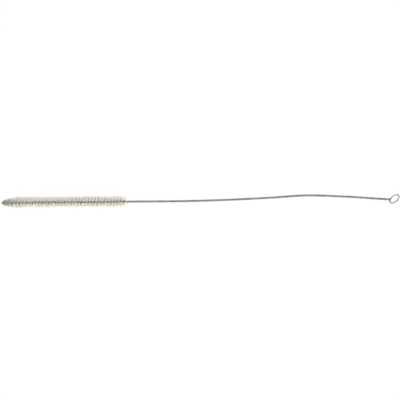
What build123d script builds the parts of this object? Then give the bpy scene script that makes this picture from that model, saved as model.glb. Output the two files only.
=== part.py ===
import os
from math import atan2, ceil, cos, pi, radians, sin, sqrt

from build123d import *

# A brush for test tubes: one wire bent double and twisted, with hairs gripped between its two legs
# Millimetres and degrees. +X runs from the tip to the ring, +Z is up, and the brush lies on Z = 0

overall_length = 406.4

wire_diameter = 1.2
wire_sides = 6  # flats round the wire
wire_gap = 0.03  # between the two legs where they lie closest

head_length = 128.0  # from the foremost hairs to the last ones
head_diameter = 12.0
head_flat_depth = 5.7  # from the axis of the head down to the flat spot that it rests on
head_pitch = 6.64  # length of one full turn of the twist
row_thickness = 2.4  # along the axis, across a row of hairs at its rim
grip_thickness = 0.12  # of the hairs where the legs pinch them
grip_gap = 0.04  # between those hairs and each leg
row_facets = 12  # in one turn of a row
bare_end = 4.0  # wire in front of the first gripped hairs
tip_lean = 62.0  # how far the first hairs lean forwards
lean_length = 12.0  # along the axis, from the first hairs to the first upright ones

handle_pitch = 7.0
leg_facets = 6  # in one turn of a leg
handle_bends = ((0.25, 0.05), (0.56, 2.8), (0.67, 4.5), (0.83, 3.0))  # share of its length, sideways
handle_end_slope = -0.055  # sideways, as the handle runs into the ring
floor_gap = 0.05  # under the end of the twist

ring_radius = 5.6  # to the middle of the wire
ring_tilt = 60.0  # between the plane of the ring and the floor
ring_heading = 41.0  # from +X to the level line of the ring
ring_shift = 0.2  # sideways, from the axis of the head to the centre of the ring
neck_angle = 234.0  # round the ring, from its level line to the neck
mouth_angle = 56.0  # of the ring, between the two shoulders
shoulder_fullness = 0.6  # how far each shoulder runs on before it turns, as a share of its span
shoulder_facets = 6
ring_facets = 20


# The wire and its two legs

wire_corner = wire_diameter / 2 * sqrt(2 * pi / wire_sides / sin(2 * pi / wire_sides))
wire_flat = wire_corner * cos(pi / wire_sides)
leg_offset = (wire_flat + wire_gap / 2) / cos(pi / leg_facets)
head_leg_offset = leg_offset + (grip_thickness / 2 + grip_gap) / cos(pi / leg_facets)
rim_radius = head_diameter / 2 / cos(pi / row_facets)
hair_length = rim_radius

# The ring stands on the floor, and its far side ends the brush

tip_x = -overall_length / 2
level_line = Vector(1, 0, 0).rotate(Axis.Z, ring_heading)
ring_axis = Vector(0, 0, -1).rotate(Axis((0, 0, 0), level_line), -ring_tilt)
ring_centre = Vector(
    overall_length / 2 - ring_radius * sqrt(1 - ring_axis.X**2) - wire_flat,
    ring_shift,
    ring_radius * sin(radians(ring_tilt)) + wire_corner,
)
ring_plane = Plane(ring_centre, x_dir=level_line, z_dir=ring_axis)

# The twist ends in the neck, just clear of the floor and in the plane of the ring

neck_height = leg_offset + wire_corner + floor_gap
neck_direction = ring_plane.from_local_coords(Vector(1, 0, 0).rotate(Axis.Z, neck_angle)) - ring_centre
neck_reach = (neck_height - ring_centre.Z) / neck_direction.Z
neck = ring_centre + neck_direction * neck_reach

# The line that both legs twist round: straight in the head, gently bent in the handle

first_root_x = tip_x + hair_length * sin(radians(tip_lean)) + row_thickness / 2 * cos(radians(tip_lean))
head_start = Vector(first_root_x - bare_end, 0, head_flat_depth)
head_end = Vector(tip_x + head_length, 0, head_flat_depth)
handle_run = neck - head_end
bends = [
    head_end + Vector(handle_run.X * share, sideways, handle_run.Z * share) for share, sideways in handle_bends
]
with BuildLine():
    head_axis = Line(head_start, head_end)
    handle_axis = Spline(head_end, *bends, neck, tangents=((1, 0, 0), (1, handle_end_slope, 0)))

head_turns = head_axis.length / head_pitch
handle_turns = handle_axis.length / handle_pitch
mouth_line = ring_plane.from_local_coords(Vector(0, 1, 0).rotate(Axis.Z, neck_angle)) - ring_centre


def across(tangent):
    """Level and upright directions square to the line of the twist."""
    level = Vector(0, 0, 1).cross(tangent).normalized()
    return level, tangent.cross(level)


neck_level, neck_upright = across(handle_axis % 1)
neck_phase = atan2(mouth_line.dot(neck_upright), mouth_line.dot(neck_level))
head_end_phase = neck_phase + 2 * pi * handle_turns


def section_plane(spot, along, inward):
    """Plane of one section of the wire, with its first flat facing inward."""
    along = along.normalized()
    return Plane(spot, x_dir=inward - along * inward.dot(along), z_dir=along)


def leg_planes(axis_line, start_phase, turns, side, offset, last=True):
    """Sections of one leg along a stretch of the twist, which is left-handed."""
    count = ceil(turns * leg_facets)
    planes = []
    for step in range(count + last):
        share = step / count
        centre = axis_line @ share
        tangent = axis_line % share
        level, upright = across(tangent)
        phase = start_phase + side * pi - 2 * pi * turns * share
        outward = level * cos(phase) + upright * sin(phase)
        turning = upright * cos(phase) - level * sin(phase)
        along = tangent - turning * (2 * pi * turns / axis_line.length * offset)
        planes.append(section_plane(centre + outward * offset, along, -outward))
    return planes


def whole_leg(side):
    """Sections of one leg from its cut end to the neck."""
    start_phase = head_end_phase + 2 * pi * head_turns
    head_part = leg_planes(head_axis, start_phase, head_turns, side, head_leg_offset, last=False)
    return head_part + leg_planes(handle_axis, head_end_phase, handle_turns, side, leg_offset)


def reversed_planes(planes):
    """The same sections, run through the other way."""
    return [Plane(p.origin, x_dir=p.x_dir, z_dir=-p.z_dir) for p in reversed(planes)]


def ring_section(angle):
    """Section of the ring, angle degrees round from its level line."""
    inward = ring_centre - ring_plane.from_local_coords(Vector(1, 0, 0).rotate(Axis.Z, angle))
    along = ring_axis.cross(inward) * -1
    return section_plane(ring_centre - inward * ring_radius, along, inward)


def shoulder_planes(leg_end, ring_end):
    """Sections of the bend between the end of a leg and the ring."""
    pull = shoulder_fullness * (ring_end.origin - leg_end.origin).length
    pull_out = leg_end.origin + leg_end.z_dir * pull
    pull_in = ring_end.origin - ring_end.z_dir * pull
    with BuildLine():
        bend = Bezier(leg_end.origin, pull_out, pull_in, ring_end.origin)
    planes = []
    for step in range(1, shoulder_facets):
        share = step / shoulder_facets
        inward = leg_end.x_dir * (1 - share) + ring_end.x_dir * share
        planes.append(section_plane(bend @ share, bend % share, inward))
    return planes


first_leg = whole_leg(0)
second_leg = whole_leg(1)
ring_from = neck_angle + mouth_angle / 2
ring_turn = 360 - mouth_angle
ring = [ring_section(ring_from + ring_turn * step / ring_facets) for step in range(ring_facets + 1)]
first_shoulder = shoulder_planes(first_leg[-1], ring[0])
second_shoulder = shoulder_planes(second_leg[-1], reversed_planes(ring)[0])
wire_path = first_leg + first_shoulder + ring + reversed_planes(second_shoulder) + reversed_planes(second_leg)

with BuildPart() as wire_stem:
    for plane in wire_path:
        with BuildSketch(plane):
            RegularPolygon(wire_corner, wire_sides, rotation=180 / wire_sides)
    loft(ruled=True, clean=False)

# Hairs pinched between the legs and fanned out on both sides: a two-start helical sheet

sheet_phase = head_end_phase + pi / 2
facet_turn = 2 * pi / row_facets
facet_run = head_pitch / row_facets
first_facet = ceil(sheet_phase / facet_turn + 0.5 + row_thickness / 2 / facet_run)
last_facet = first_facet + int((head_end.X - row_thickness / 2 - first_root_x) / facet_run) - 1


def head_point(x, radius, azimuth):
    """A point of the head, from its place along the axis and round it."""
    return Vector(x, radius * cos(azimuth), head_flat_depth + radius * sin(azimuth))


def rim_edges(root_x, azimuth):
    """Both edges of the rim of one fan, front edge first, kept above the flat spot."""
    lean = radians(tip_lean) * max(0, 1 - (root_x - first_root_x) / lean_length)
    room = head_flat_depth / max(-sin(azimuth), head_flat_depth / rim_radius)
    reach = min(hair_length, (room - row_thickness / 2 * sin(lean)) / cos(lean))
    edges = []
    for side in (-1, 1):
        x = root_x - reach * sin(lean) + side * row_thickness / 2 * cos(lean)
        radius = reach * cos(lean) + side * row_thickness / 2 * sin(lean)
        edges.append(head_point(x, radius, azimuth))
    return edges


def sheet_section(facet):
    """Outline of the sheet across both rows, through the slot between the legs."""
    root_x = head_end.X - (facet - 0.5 - sheet_phase / facet_turn) * facet_run
    azimuth = (facet - 0.5) * facet_turn
    outline = []
    for turn in (azimuth, azimuth + pi):
        outline += rim_edges(root_x, turn)
        outline.append(head_point(root_x, grip_thickness / 2, turn + pi / 2))
    return outline


def triangle(*corners):
    return Face(Wire.make_polygon(corners))


sections = [sheet_section(facet) for facet in range(first_facet, last_facet + 1)]
facets = []
for near, far in zip(sections, sections[1:]):
    for i in range(len(near)):
        j = (i + 1) % len(near)
        facets.append(triangle(near[i], far[j], near[j]))
        facets.append(triangle(near[i], far[i], far[j]))
for end in (sections[0], sections[-1]):
    front, back, middle, far_front, far_back, far_middle = end
    facets.append(triangle(front, back, middle))
    facets.append(triangle(front, middle, far_middle))
    facets.append(triangle(far_front, far_back, far_middle))
    facets.append(triangle(far_front, far_middle, middle))

with BuildPart() as bristles:
    add(Solid(Shell(facets)))

os.makedirs("parts", exist_ok=True)
for name, piece in (("wire_stem", wire_stem), ("bristles", bristles)):
    piece.part.label = name
    export_step(piece.part, f"parts/{name}.step")
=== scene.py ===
import math

import bpy
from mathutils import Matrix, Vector


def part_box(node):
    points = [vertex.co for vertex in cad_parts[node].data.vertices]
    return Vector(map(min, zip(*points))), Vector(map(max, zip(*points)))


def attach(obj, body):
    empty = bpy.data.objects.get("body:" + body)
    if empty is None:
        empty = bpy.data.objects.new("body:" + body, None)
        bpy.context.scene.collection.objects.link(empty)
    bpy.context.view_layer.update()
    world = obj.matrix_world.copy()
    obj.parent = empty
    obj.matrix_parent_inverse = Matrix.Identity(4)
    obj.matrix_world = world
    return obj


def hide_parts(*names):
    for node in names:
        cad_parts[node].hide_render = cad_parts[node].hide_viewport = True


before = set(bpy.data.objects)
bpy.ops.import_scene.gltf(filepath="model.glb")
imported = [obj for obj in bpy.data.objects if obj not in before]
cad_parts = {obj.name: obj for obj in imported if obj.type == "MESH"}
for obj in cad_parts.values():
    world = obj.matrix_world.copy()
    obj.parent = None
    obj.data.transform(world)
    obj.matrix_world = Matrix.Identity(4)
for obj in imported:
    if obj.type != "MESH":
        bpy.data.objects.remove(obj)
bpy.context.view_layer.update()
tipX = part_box("bristles")[0][0]
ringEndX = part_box("wire_stem")[1][0]
mm = 0.001

# The brush lies along X on Z = 0: head on the left, ring on the right

brush = {
    "headEndX": tipX + 127.6 * mm,
    "axisHeight": 5.7 * mm,
    "headRadius": 5.92 * mm,
    "headPitch": 6.64 * mm,
    "handlePitch": 5.0 * mm,
    "wireRadius": 0.6 * mm,
    "grip": 0.16 * mm,  # hair thickness that keeps the legs apart in the head
    "bareEnd": 1.6 * mm,
    "firstRoot": 2.9 * mm,  # from the foremost hairs to the first root
    "ringRadius": 5.6 * mm,
    "ringTilt": math.radians(60),
    "ringHeading": math.radians(41),
    "ringShift": 0.2 * mm,
    "neckAngle": math.radians(234),
    "mouthAngle": math.radians(56),  # of the ring, between the two shoulders
    "neckHeight": 1.39 * mm,  # of the middle of the twist, where it ends
    "shoulderFullness": 0.6,  # run of each shoulder before it turns, as a share of its span
    # Share of the handle's length, and millimetres sideways
    "handleBends": ((0.25, 0.05), (0.56, 2.8), (0.67, 4.5), (0.83, 3.0)),
    "handleEndSlope": -0.055,
    "handleSteps": 40,  # from one bend to the next
}


def turned(angle, first, second):
    return first * math.cos(angle) + second * math.sin(angle)


levelLine = Vector((math.cos(brush["ringHeading"]), math.sin(brush["ringHeading"]), 0))
flatSide = Vector((-levelLine.y, levelLine.x, 0))
steepLine = -flatSide * math.cos(brush["ringTilt"]) + Vector((0, 0, math.sin(brush["ringTilt"])))
ringCentre = Vector((
    ringEndX - brush["ringRadius"] * math.sqrt(levelLine.x ** 2 + steepLine.x ** 2) - brush["wireRadius"],
    brush["ringShift"],
    brush["ringRadius"] * math.sin(brush["ringTilt"]) + brush["wireRadius"],
))
neckLine = turned(brush["neckAngle"], levelLine, steepLine)
mouthLine = turned(brush["neckAngle"], steepLine, -levelLine)
neck = ringCentre + neckLine * ((brush["neckHeight"] - ringCentre.z) / neckLine.z)
headEnd = Vector((brush["headEndX"], 0, brush["axisHeight"]))
headStart = Vector((tipX + brush["firstRoot"] - brush["bareEnd"], 0, brush["axisHeight"]))
handleRun = neck - headEnd
handleRoute = [
    headEnd + Vector((handleRun.x * share, side * mm, handleRun.z * share))
    for share, side in brush["handleBends"]
]


# A smooth line through a few points, with one cubic for each span
def cubicThrough(points, startSlope, endSlope, steps):
    slopes = [startSlope]
    for before, here, after in zip(points, points[1:], points[2:]):
        near, far = (here - before).length, (after - here).length
        slopes.append(((here - before) / near * far + (after - here) / far * near) / (near + far))
    slopes.append(endSlope)
    line = []
    for i in range(len(points) - 1):
        span = (points[i + 1] - points[i]).length
        for step in range(steps):
            t = step / steps
            line.append(
                points[i] * (2 * t ** 3 - 3 * t ** 2 + 1) + slopes[i] * span * (t ** 3 - 2 * t ** 2 + t)
                + points[i + 1] * (3 * t ** 2 - 2 * t ** 3) + slopes[i + 1] * span * (t ** 3 - t ** 2)
            )
    return line + [points[-1]]


# The distance along a line, at each of its points
def lengths(line):
    total = [0.0]
    for a, b in zip(line, line[1:]):
        total.append(total[-1] + (b - a).length)
    return total


handleStart = Vector((1, 0, 0))
handleEnd = Vector((1, brush["handleEndSlope"], 0))
handleLine = cubicThrough([headEnd, *handleRoute, neck], handleStart, handleEnd, brush["handleSteps"])
handleLengths = lengths(handleLine)
handleTurns = handleLengths[-1] / brush["handlePitch"]
headTurns = (headEnd.x - headStart.x) / brush["headPitch"]


# The level and the upright direction square to a tangent
def across(tangent):
    level = Vector((0, 0, 1)).cross(tangent).normalized()
    return level, tangent.cross(level)


neckLevel, neckUp = across((handleLine[-1] - handleLine[-2]).normalized())
neckPhase = math.atan2(mouthLine.dot(neckUp), mouthLine.dot(neckLevel))
headEndPhase = neckPhase + math.tau * handleTurns


# The wire: two twisted legs and the ring, as one round tube

wire = {
    "pointsPerTurn": 22,
    "sides": 12,
    "ringPoints": 90,
    "shoulderPoints": 14,
    "legOffset": 1.01,  # from the middle of the twist to each leg, in radii of the wire
    "closingTurns": 0.5,  # over which the legs close behind the last hairs
    "handleShade": 0.3,  # painted shade: how dark the wire gets between the legs of the handle
    "shadeEdge": 0.86,  # where the painted shade ends, from the middle of the twist, in widths of the wire
    "shadeFade": 0.5,
    # colour of the painted shade on the wire
    "shadeColour": (0.055, 0.052, 0.047),
    "dullColour": (0.20, 0.194, 0.176),
    "brightColour": (0.33, 0.322, 0.298),
    "blotchRange": (0.3, 0.7),
    "blotchScale": 160.0,
    "blotchDetail": 3.0,
    "grainScale": 2600.0,
    "grainDetail": 2.0,
    "grainStrength": 0.25,
    "grainDepth": 0.04 * mm,
    "roughness": (0.45, 0.65),
    "metallic": 0.7,
}


# The point and the tangent of the handle, a distance along it
def spineAt(distance):
    i = 0
    while i < len(handleLine) - 2 and handleLengths[i + 1] < distance:
        i += 1
    span = handleLengths[i + 1] - handleLengths[i]
    share = (distance - handleLengths[i]) / span
    here = (handleLine[i + 1] - handleLine[i]).normalized()
    after = (handleLine[min(i + 2, len(handleLine) - 1)] - handleLine[i + 1]).normalized()
    if after.length == 0:
        after = here
    return handleLine[i].lerp(handleLine[i + 1], share), here.lerp(after, share).normalized()


# One leg, from its cut end to the neck
def legPoints(side):
    points = []
    count = math.ceil(headTurns * wire["pointsPerTurn"])
    for step in range(count):
        share = step / count
        phase = headEndPhase + math.tau * headTurns * (1 - share) + side * math.pi
        offset = brush["wireRadius"] + brush["grip"] / 2
        points.append(headStart.lerp(headEnd, share) + offset * Vector((0, math.cos(phase), math.sin(phase))))
    count = math.ceil(handleTurns * wire["pointsPerTurn"])
    for step in range(count + 1):
        share = step / count
        centre, tangent = spineAt(handleLengths[-1] * share)
        level, up = across(tangent)
        phase = headEndPhase - math.tau * handleTurns * share + side * math.pi
        opened = max(0, 1 - share * handleTurns / wire["closingTurns"])
        offset = brush["wireRadius"] * wire["legOffset"] + brush["grip"] / 2 * opened
        points.append(centre + turned(phase, level, up) * offset)
    return points


def ringPoint(angle):
    return ringCentre + turned(angle, levelLine, steepLine) * brush["ringRadius"]


def bezier(a, b, c, d, count):
    line = []
    for step in range(1, count):
        t = step / count
        line.append(a * (1 - t) ** 3 + b * 3 * t * (1 - t) ** 2 + c * 3 * t ** 2 * (1 - t) + d * t ** 3)
    return line


def shoulder(leg, ringStart, ringNext):
    pull = brush["shoulderFullness"] * (ringStart - leg[-1]).length
    out = (leg[-1] - leg[-2]).normalized() * pull
    back = (ringNext - ringStart).normalized() * pull
    return bezier(leg[-1], leg[-1] + out, ringStart - back, ringStart, wire["shoulderPoints"])


def wirePath():
    first, second = legPoints(0), legPoints(1)
    start = brush["neckAngle"] + brush["mouthAngle"] / 2
    turn = math.tau - brush["mouthAngle"]
    ring = [ringPoint(start + turn * step / wire["ringPoints"]) for step in range(wire["ringPoints"] + 1)]
    firstShoulder = shoulder(first, ring[0], ring[1])
    secondShoulder = shoulder(second, ring[-1], ring[-2])
    return first + firstShoulder + ring + secondShoulder[::-1] + second[::-1]


def newTree(name, sockets):
    tree = bpy.data.node_groups.new(name, "GeometryNodeTree")
    tree.interface.new_socket("Geometry", in_out="INPUT", socket_type="NodeSocketGeometry")
    tree.interface.new_socket("Geometry", in_out="OUTPUT", socket_type="NodeSocketGeometry")
    for title, kind in sockets:
        tree.interface.new_socket(title, in_out="INPUT", socket_type=kind)
    return tree, tree.nodes.new("NodeGroupInput"), tree.nodes.new("NodeGroupOutput")


def link(tree, source, target):
    tree.links.new(source, target)


def node(tree, kind, inputs=None, **settings):
    made = tree.nodes.new(kind)
    for key, value in settings.items():
        setattr(made, key, value)
    for key, value in (inputs or {}).items():
        if isinstance(value, bpy.types.NodeSocket):
            link(tree, value, made.inputs[key])
        else:
            made.inputs[key].default_value = value
    return made


# Runs a tree on an object and keeps the result as a plain mesh
def applied(obj, tree, values, name):
    modifier = obj.modifiers.new(tree.name, "NODES")
    modifier.node_group = tree
    for item in tree.interface.items_tree:
        if item.item_type == "SOCKET" and item.in_out == "INPUT" and item.name in values:
            modifier[item.identifier] = values[item.name]
    graph = bpy.context.evaluated_depsgraph_get()
    mesh = bpy.data.meshes.new_from_object(obj.evaluated_get(graph), depsgraph=graph)
    obj.modifiers.remove(modifier)
    bpy.data.objects.remove(obj)
    mesh.name = name
    made = bpy.data.objects.new(name, mesh)
    bpy.context.scene.collection.objects.link(made)
    return made


def ramp(tree, fac, stops):
    made = tree.nodes.new("ShaderNodeValToRGB")
    for i, (place, colour) in enumerate(stops):
        stop = made.color_ramp.elements[i] if i < 2 else made.color_ramp.elements.new(place)
        stop.position = place
        stop.color = (*colour, 1)
    link(tree, fac, made.inputs["Fac"])
    return made


def newMaterial(name):
    material = bpy.data.materials.new(name)
    material.use_nodes = True
    return material, material.node_tree, material.node_tree.nodes["Principled BSDF"]


def noise(tree, place, scale, detail):
    made = node(tree, "ShaderNodeTexNoise", {"Vector": place, "Scale": scale, "Detail": detail})
    return made.outputs["Fac"]


def roughen(tree, shader, grain, limits):
    low, high = limits
    rough = node(tree, "ShaderNodeMapRange", {"Value": grain, "To Min": low, "To Max": high})
    link(tree, rough.outputs[0], shader.inputs["Roughness"])


def galvanisedWire():
    material, tree, shader = newMaterial("galvanisedWire")
    place = node(tree, "ShaderNodeTexCoord").outputs["Object"]
    blotch = noise(tree, place, wire["blotchScale"], wire["blotchDetail"])
    grain = noise(tree, place, wire["grainScale"], wire["grainDetail"])
    blotchFrom, blotchTo = wire["blotchRange"]
    colour = ramp(tree, blotch, [(blotchFrom, wire["dullColour"]), (blotchTo, wire["brightColour"])])
    # Painted shade: the wire darkens towards the shade colour where the mesh is marked
    paintedShade = node(tree, "ShaderNodeAttribute", attribute_name="paintedShade")
    shadedColour = node(tree, "ShaderNodeMix", {
        0: paintedShade.outputs["Fac"], 6: colour.outputs["Color"], 7: (*wire["shadeColour"], 1),
    }, data_type="RGBA")
    link(tree, shadedColour.outputs[2], shader.inputs["Base Color"])
    roughen(tree, shader, grain, wire["roughness"])
    bump = node(tree, "ShaderNodeBump", {
        "Height": grain, "Strength": wire["grainStrength"], "Distance": wire["grainDepth"],
    })
    link(tree, bump.outputs["Normal"], shader.inputs["Normal"])
    shader.inputs["Metallic"].default_value = wire["metallic"]
    return material


# Paints shade on the wire: darkens it where the legs cross in the head, seen through the gaps between the
# rows of hairs, and between the legs in the handle
def paintGrooveShade(mesh, path):
    paintedShade = mesh.attributes.new("paintedShade", "FLOAT", "POINT")
    legCount = (len(path) - wire["ringPoints"]) // 2
    for vertex in mesh.vertices:
        here = vertex.index // wire["sides"]
        shadeDepth = 0.0
        if here < legCount or here > len(path) - legCount:
            middle = (path[here] + path[len(path) - 1 - here]) / 2
            if middle.x < brush["headEndX"]:
                # painted shade, darkest where one leg lies over the other
                shadeDepth = max(0, 1 - abs(path[here].y) / brush["wireRadius"])
            else:
                # painted shade in the crevice between the two legs
                reach = (vertex.co - middle).length / (2 * brush["wireRadius"])
                fade = (wire["shadeEdge"] - reach) / wire["shadeFade"]
                shadeDepth = wire["handleShade"] * min(1, max(0, fade))
        paintedShade.data[vertex.index].value = shadeDepth


def makeWire(material):
    curve = bpy.data.curves.new("wireLine", "CURVE")
    curve.dimensions = "3D"
    spline = curve.splines.new("POLY")
    path = wirePath()
    spline.points.add(len(path) - 1)
    for point, place in zip(spline.points, path):
        point.co = (*place, 1)
    line = bpy.data.objects.new("wireLine", curve)
    bpy.context.scene.collection.objects.link(line)
    tree, given, out = newTree("roundWire", [("Radius", "NodeSocketFloat"), ("Sides", "NodeSocketInt")])
    circle = node(tree, "GeometryNodeCurvePrimitiveCircle", {
        "Resolution": given.outputs["Sides"], "Radius": given.outputs["Radius"],
    })
    tube = node(tree, "GeometryNodeCurveToMesh", {
        "Curve": given.outputs["Geometry"], "Profile Curve": circle.outputs["Curve"], "Fill Caps": True,
    })
    smooth = node(tree, "GeometryNodeSetShadeSmooth", {"Geometry": tube.outputs["Mesh"]})
    coat = node(tree, "GeometryNodeSetMaterial", {
        "Geometry": smooth.outputs["Geometry"], "Material": material,
    })
    link(tree, coat.outputs["Geometry"], out.inputs["Geometry"])
    made = applied(line, tree, {"Radius": brush["wireRadius"], "Sides": wire["sides"]}, "twistedWire")
    paintGrooveShade(made.data, path)
    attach(made, "root")
    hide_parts("wire_stem")
    print("wire", len(made.data.polygons))


# The hairs: each row is thousands of thin tapered sticks, pinched at the twist

hairs = {
    "count": 13800,  # in one row
    "sides": 3,
    "lengthSegments": 2,
    "rootRadius": 0.09 * mm,
    "tipRadius": 0.088 * mm,
    "fan": 0.16,  # half the spread along the axis, in radians
    "softEdge": 0.45,  # of the fan, from a second draw
    "turnSpread": 0.11,
    "shortest": 0.92,
    "tipLean": math.radians(47.5),
    "leanRun": 12.0 * mm,
    "tipShortening": 0.415,
    "ruffle": (-0.15, 0.45),
    "bend": 0.25 * mm,
    "rootJitter": 0.12 * mm,
    "pace": 1.012,  # of the roots along the head, made up by the crowding and thinning of its ends
    "crowdedShare": 0.12,
    "crowding": 2.1,
    "thinFrom": 0.94,
    "thinning": 5.0,
    "darkRun": 1.85,  # of the darker hairs at the tip, in runs of the lean
    "darkening": 0.95,
    "leastTone": 0.3,
    "firstSeed": 11,
    "seedStep": 40,
    "floorGap": 0.01 * mm,
    "darkColour": (0.37, 0.355, 0.315),
    "middleColour": (0.90, 0.878, 0.82),
    "middleTone": 0.45,
    "paleColour": (0.96, 0.945, 0.90),
    # painted shade: the hairs darken slightly towards their roots, deep inside the brush
    "rootShadeColour": (0.95, 0.945, 0.93),
    "rootShadeRange": (0.10, 0.40),
    "fleckScale": 900.0,
    "fleckDetail": 2.0,
    "roughness": (0.42, 0.68),
}


def hairMaterial():
    material, tree, shader = newMaterial("stiffHair")
    tone = node(tree, "ShaderNodeAttribute", attribute_name="tone")
    along = node(tree, "ShaderNodeAttribute", attribute_name="along")
    colour = ramp(tree, tone.outputs["Fac"], [
        (0, hairs["darkColour"]), (1, hairs["paleColour"]), (hairs["middleTone"], hairs["middleColour"]),
    ])
    shadeFrom, shadeTo = hairs["rootShadeRange"]
    # Painted shade near the roots, multiplied into the hair colour
    paintedRootShade = ramp(tree, along.outputs["Fac"], [(shadeFrom, hairs["rootShadeColour"]), (shadeTo, (1, 1, 1))])
    mixed = node(tree, "ShaderNodeMix", {
        0: 1.0, 6: colour.outputs["Color"], 7: paintedRootShade.outputs["Color"],
    }, data_type="RGBA", blend_type="MULTIPLY")
    link(tree, mixed.outputs[2], shader.inputs["Base Color"])
    place = node(tree, "ShaderNodeTexCoord").outputs["Object"]
    roughen(tree, shader, noise(tree, place, hairs["fleckScale"], hairs["fleckDetail"]), hairs["roughness"])
    return material


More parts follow.
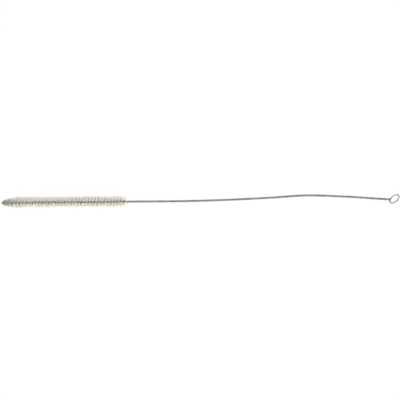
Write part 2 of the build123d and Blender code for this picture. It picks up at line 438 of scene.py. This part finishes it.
def hairTree(material):
    tree, given, out = newTree("hairRow", [
        ("Count", "NodeSocketInt"), ("First Root", "NodeSocketFloat"), ("Last Root", "NodeSocketFloat"),
        ("Axis Height", "NodeSocketFloat"), ("Pitch", "NodeSocketFloat"), ("End Phase", "NodeSocketFloat"),
        ("Length", "NodeSocketFloat"), ("Shortest", "NodeSocketFloat"), ("Root Radius", "NodeSocketFloat"),
        ("Tip Radius", "NodeSocketFloat"), ("Fan", "NodeSocketFloat"), ("Turn Spread", "NodeSocketFloat"),
        ("Tip Lean", "NodeSocketFloat"), ("Lean Run", "NodeSocketFloat"), ("Bend", "NodeSocketFloat"),
        ("Tip Shortening", "NodeSocketFloat"), ("Seed", "NodeSocketInt"),
    ])
    take = given.outputs

    def maths(operation, *values):
        made = tree.nodes.new("ShaderNodeMath")
        made.operation = operation
        for socket, value in zip(made.inputs, values):
            if isinstance(value, bpy.types.NodeSocket):
                link(tree, value, socket)
            else:
                socket.default_value = value
        return made.outputs[0]

    # Each draw has its own shift of the row's seed
    def chance(low, high, shift):
        seed = maths("ADD", take["Seed"], shift)
        made = node(tree, "FunctionNodeRandomValue", {"Seed": seed}, data_type="FLOAT")
        made.inputs[2].default_value = low
        made.inputs[3].default_value = high
        return made.outputs[1]

    index = node(tree, "GeometryNodeInputIndex").outputs["Index"]
    even = maths("DIVIDE", index, take["Count"])
    late = maths("MAXIMUM", maths("SUBTRACT", even, hairs["thinFrom"]), 0.0)
    early = maths("MINIMUM", even, hairs["crowdedShare"])
    crowding = maths("MULTIPLY", early, maths("SUBTRACT", 2 * hairs["crowdedShare"], early))
    crowding = maths("MULTIPLY", crowding, hairs["crowding"])
    thinning = maths("MULTIPLY", maths("POWER", late, 2.0), hairs["thinning"])
    share = maths("SUBTRACT", maths("MULTIPLY_ADD", even, hairs["pace"], thinning), crowding)
    run = maths("SUBTRACT", take["Last Root"], take["First Root"])
    jitter = maths("MULTIPLY", chance(-1, 1, 1), hairs["rootJitter"])
    fromFirst = maths("ADD", maths("MULTIPLY", share, run), jitter)
    rootX = maths("ADD", take["First Root"], fromFirst)
    turns = maths("DIVIDE", maths("SUBTRACT", take["Last Root"], rootX), take["Pitch"])
    spread = maths("MULTIPLY", maths("ADD", chance(-1, 1, 2), chance(-1, 1, 3)), take["Turn Spread"])
    azimuth = maths("ADD", maths("MULTIPLY_ADD", turns, math.tau, take["End Phase"]), spread)
    fade = maths("MAXIMUM", maths("SUBTRACT", 1.0, maths("DIVIDE", fromFirst, take["Lean Run"])), 0.0)
    fan = maths("MULTIPLY_ADD", chance(-1, 1, 11), hairs["softEdge"], chance(-1, 1, 4))
    fan = maths("MULTIPLY", fan, take["Fan"])
    ruffle = maths("MULTIPLY", chance(*hairs["ruffle"], 5), fade)
    lean = maths("ADD", maths("MULTIPLY_ADD", take["Tip Lean"], fade, ruffle), fan)
    reach = maths("COSINE", lean)
    direction = node(tree, "ShaderNodeCombineXYZ", {
        "X": maths("MULTIPLY", maths("SINE", lean), -1.0),
        "Y": maths("MULTIPLY", reach, maths("COSINE", azimuth)),
        "Z": maths("MULTIPLY", reach, maths("SINE", azimuth)),
    }).outputs[0]
    root = node(tree, "ShaderNodeCombineXYZ", {"X": rootX, "Y": 0.0, "Z": take["Axis Height"]}).outputs[0]
    points = node(tree, "GeometryNodePoints", {"Count": take["Count"], "Position": root})
    stick = node(tree, "GeometryNodeMeshCone", {
        "Vertices": hairs["sides"], "Side Segments": hairs["lengthSegments"], "Depth": 1.0,
        "Radius Top": take["Tip Radius"], "Radius Bottom": take["Root Radius"],
    }, fill_type="NGON")
    height = node(tree, "ShaderNodeSeparateXYZ", {
        "Vector": node(tree, "GeometryNodeInputPosition").outputs[0],
    }).outputs["Z"]
    marked = node(tree, "GeometryNodeStoreNamedAttribute", {
        "Geometry": stick.outputs["Mesh"], "Name": "along", "Value": height,
    }, data_type="FLOAT", domain="POINT")
    facing = node(tree, "FunctionNodeAlignRotationToVector", {"Vector": direction}, axis="Z")
    least = maths("MULTIPLY", take["Length"], take["Shortest"])
    extra = maths("MULTIPLY", take["Length"], chance(0.0, 1.0, 6))
    extra = maths("MULTIPLY", extra, maths("SUBTRACT", 1.0, take["Shortest"]))
    trimmed = maths("SUBTRACT", 1.0, maths("MULTIPLY", fade, take["Tip Shortening"]))
    length = maths("MULTIPLY", maths("ADD", least, extra), trimmed)
    size = node(tree, "ShaderNodeCombineXYZ", {"X": 1.0, "Y": 1.0, "Z": length}).outputs[0]
    spots = node(tree, "GeometryNodeInstanceOnPoints", {
        "Points": points.outputs[0], "Instance": marked.outputs["Geometry"],
        "Rotation": facing.outputs[0], "Scale": size,
    })
    darkRun = maths("MULTIPLY", take["Lean Run"], hairs["darkRun"])
    dusk = maths("MAXIMUM", maths("SUBTRACT", 1.0, maths("DIVIDE", fromFirst, darkRun)), 0.0)
    tone = chance(hairs["leastTone"], 1.0, 7)
    tone = maths("MULTIPLY", tone, maths("MULTIPLY_ADD", dusk, -hairs["darkening"], 1.0))
    toned = node(tree, "GeometryNodeStoreNamedAttribute", {
        "Geometry": spots.outputs[0], "Name": "tone", "Value": tone,
    }, data_type="FLOAT", domain="INSTANCE")
    swayAim = node(tree, "ShaderNodeCombineXYZ", {
        "X": chance(-1, 1, 8), "Y": chance(-1, 1, 9), "Z": chance(-1, 1, 10),
    }).outputs[0]
    bent = node(tree, "GeometryNodeStoreNamedAttribute", {
        "Geometry": toned.outputs[0], "Name": "sway", "Value": swayAim,
    }, data_type="FLOAT_VECTOR", domain="INSTANCE")
    real = node(tree, "GeometryNodeRealizeInstances", {"Geometry": bent.outputs[0]})
    along = node(tree, "GeometryNodeInputNamedAttribute", {"Name": "along"}, data_type="FLOAT").outputs[0]
    sway = node(tree, "GeometryNodeInputNamedAttribute", {"Name": "sway"}, data_type="FLOAT_VECTOR")
    amount = maths("MULTIPLY", maths("POWER", along, 2.0), take["Bend"])
    push = node(tree, "ShaderNodeVectorMath", {0: sway.outputs[0], "Scale": amount}, operation="SCALE")
    swayed = node(tree, "GeometryNodeSetPosition", {"Geometry": real.outputs[0], "Offset": push.outputs[0]})
    here = node(tree, "ShaderNodeSeparateXYZ", {"Vector": node(tree, "GeometryNodeInputPosition").outputs[0]})
    resting = node(tree, "ShaderNodeCombineXYZ", {
        "X": here.outputs["X"],
        "Y": here.outputs["Y"],
        "Z": maths("MAXIMUM", here.outputs["Z"], hairs["floorGap"]),
    }).outputs[0]
    flat = node(tree, "GeometryNodeSetPosition", {"Geometry": swayed.outputs[0], "Position": resting})
    coat = node(tree, "GeometryNodeSetMaterial", {"Geometry": flat.outputs[0], "Material": material})
    link(tree, coat.outputs[0], out.inputs["Geometry"])
    return tree


def makeHairs(material):
    tree = hairTree(material)
    for row, name in enumerate(("hairRowFront", "hairRowBack")):
        seedling = bpy.data.objects.new(name + "Seed", bpy.data.meshes.new(name + "Seed"))
        bpy.context.scene.collection.objects.link(seedling)
        made = applied(seedling, tree, {
            "Count": hairs["count"], "First Root": tipX + brush["firstRoot"],
            "Last Root": brush["headEndX"], "Axis Height": brush["axisHeight"],
            "Pitch": brush["headPitch"], "End Phase": headEndPhase + math.pi / 2 + row * math.pi,
            "Length": brush["headRadius"], "Shortest": hairs["shortest"],
            "Root Radius": hairs["rootRadius"], "Tip Radius": hairs["tipRadius"],
            "Fan": hairs["fan"], "Turn Spread": hairs["turnSpread"], "Tip Lean": hairs["tipLean"],
            "Lean Run": hairs["leanRun"], "Bend": hairs["bend"],
            "Tip Shortening": hairs["tipShortening"], "Seed": hairs["firstSeed"] + hairs["seedStep"] * row,
        }, name)
        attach(made, "root")
        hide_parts("bristles")
        print(name, len(made.data.polygons))


# The set: white floor, soft light from the front and a long lens straight above

studio = {
    "focal": 200.0,
    "sensor": 36.0,
    "frameWidth": 0.4084,  # metres across the picture
    "centre": (-0.0004, 0.00095),
    "roll": -0.0095,
    "clipEnd": 20,
    "keyPlace": (0.0, -0.9, 0.9),
    "keySize": 1.0,
    "keyPower": 10.0,
    "fillPlace": (0.1, 0.3, 1.3),
    "fillSize": 1.2,
    "fillPower": 3.0,
    "world": 1.05,
    "floorSize": 6.0,
    "floorColour": (0.86, 0.86, 0.86),
    "floorRoughness": 0.9,
    "floorGlow": 0.94,  # share of plain white in the floor that the camera sees
}


def makeFloor():
    mesh = bpy.data.meshes.new("floor")
    half = studio["floorSize"] / 2
    corners = [(-half, -half, 0), (half, -half, 0), (half, half, 0), (-half, half, 0)]
    mesh.from_pydata(corners, [], [(0, 1, 2, 3)])
    floor = bpy.data.objects.new("floor", mesh)
    bpy.context.scene.collection.objects.link(floor)
    material, tree, shader = newMaterial("whiteFloor")
    shader.inputs["Base Color"].default_value = (*studio["floorColour"], 1)
    shader.inputs["Roughness"].default_value = studio["floorRoughness"]
    glow = node(tree, "ShaderNodeEmission", {"Color": (1, 1, 1, 1), "Strength": 1.0})
    rays = node(tree, "ShaderNodeLightPath").outputs
    seen = node(tree, "ShaderNodeMath", {
        0: rays["Is Camera Ray"], 1: studio["floorGlow"],
    }, operation="MULTIPLY")
    share = node(tree, "ShaderNodeMath", {
        0: seen.outputs[0], 1: rays["Is Glossy Ray"],
    }, operation="MAXIMUM")
    mixed = node(tree, "ShaderNodeMixShader", {
        0: share.outputs[0], 1: shader.outputs[0], 2: glow.outputs[0],
    })
    link(tree, mixed.outputs[0], tree.nodes["Material Output"].inputs["Surface"])
    floor.data.materials.append(material)
    print("floor", len(mesh.polygons))


def addLight(name, place, power, size):
    data = bpy.data.lights.new(name, "AREA")
    data.energy = power
    data.size = size
    light = bpy.data.objects.new(name, data)
    light.location = place
    light.rotation_euler = (-Vector(place)).to_track_quat("-Z", "Y").to_euler()
    bpy.context.scene.collection.objects.link(light)


def makeWorld():
    world = bpy.data.worlds.new("softRoom")
    bpy.context.scene.world = world
    world.use_nodes = True
    tree = world.node_tree
    soft = tree.nodes["Background"]
    soft.inputs["Color"].default_value = (1, 1, 1, 1)
    soft.inputs["Strength"].default_value = studio["world"]
    white = node(tree, "ShaderNodeBackground", {"Color": (1, 1, 1, 1), "Strength": 1.0})
    rays = node(tree, "ShaderNodeLightPath").outputs
    both = node(tree, "ShaderNodeMixShader", {
        0: rays["Is Camera Ray"], 1: soft.outputs[0], 2: white.outputs[0],
    })
    link(tree, both.outputs[0], tree.nodes["World Output"].inputs["Surface"])


def makeCamera():
    data = bpy.data.cameras.new("longLens")
    data.lens = studio["focal"]
    data.sensor_width = studio["sensor"]
    data.clip_end = studio["clipEnd"]
    camera = bpy.data.objects.new("longLens", data)
    distance = studio["frameWidth"] / studio["sensor"] * studio["focal"]
    camera.location = (*studio["centre"], distance + brush["axisHeight"])
    camera.rotation_euler = (0, 0, studio["roll"])
    bpy.context.scene.collection.objects.link(camera)
    bpy.context.scene.camera = camera


def makeStudio():
    bpy.context.scene.view_settings.view_transform = "Standard"
    makeWorld()
    addLight("frontSoftbox", studio["keyPlace"], studio["keyPower"], studio["keySize"])
    addLight("topSoftbox", studio["fillPlace"], studio["fillPower"], studio["fillSize"])
    makeCamera()
    print("studio", len(bpy.data.lights))


makeWire(galvanisedWire())
makeHairs(hairMaterial())
makeFloor()
makeStudio()
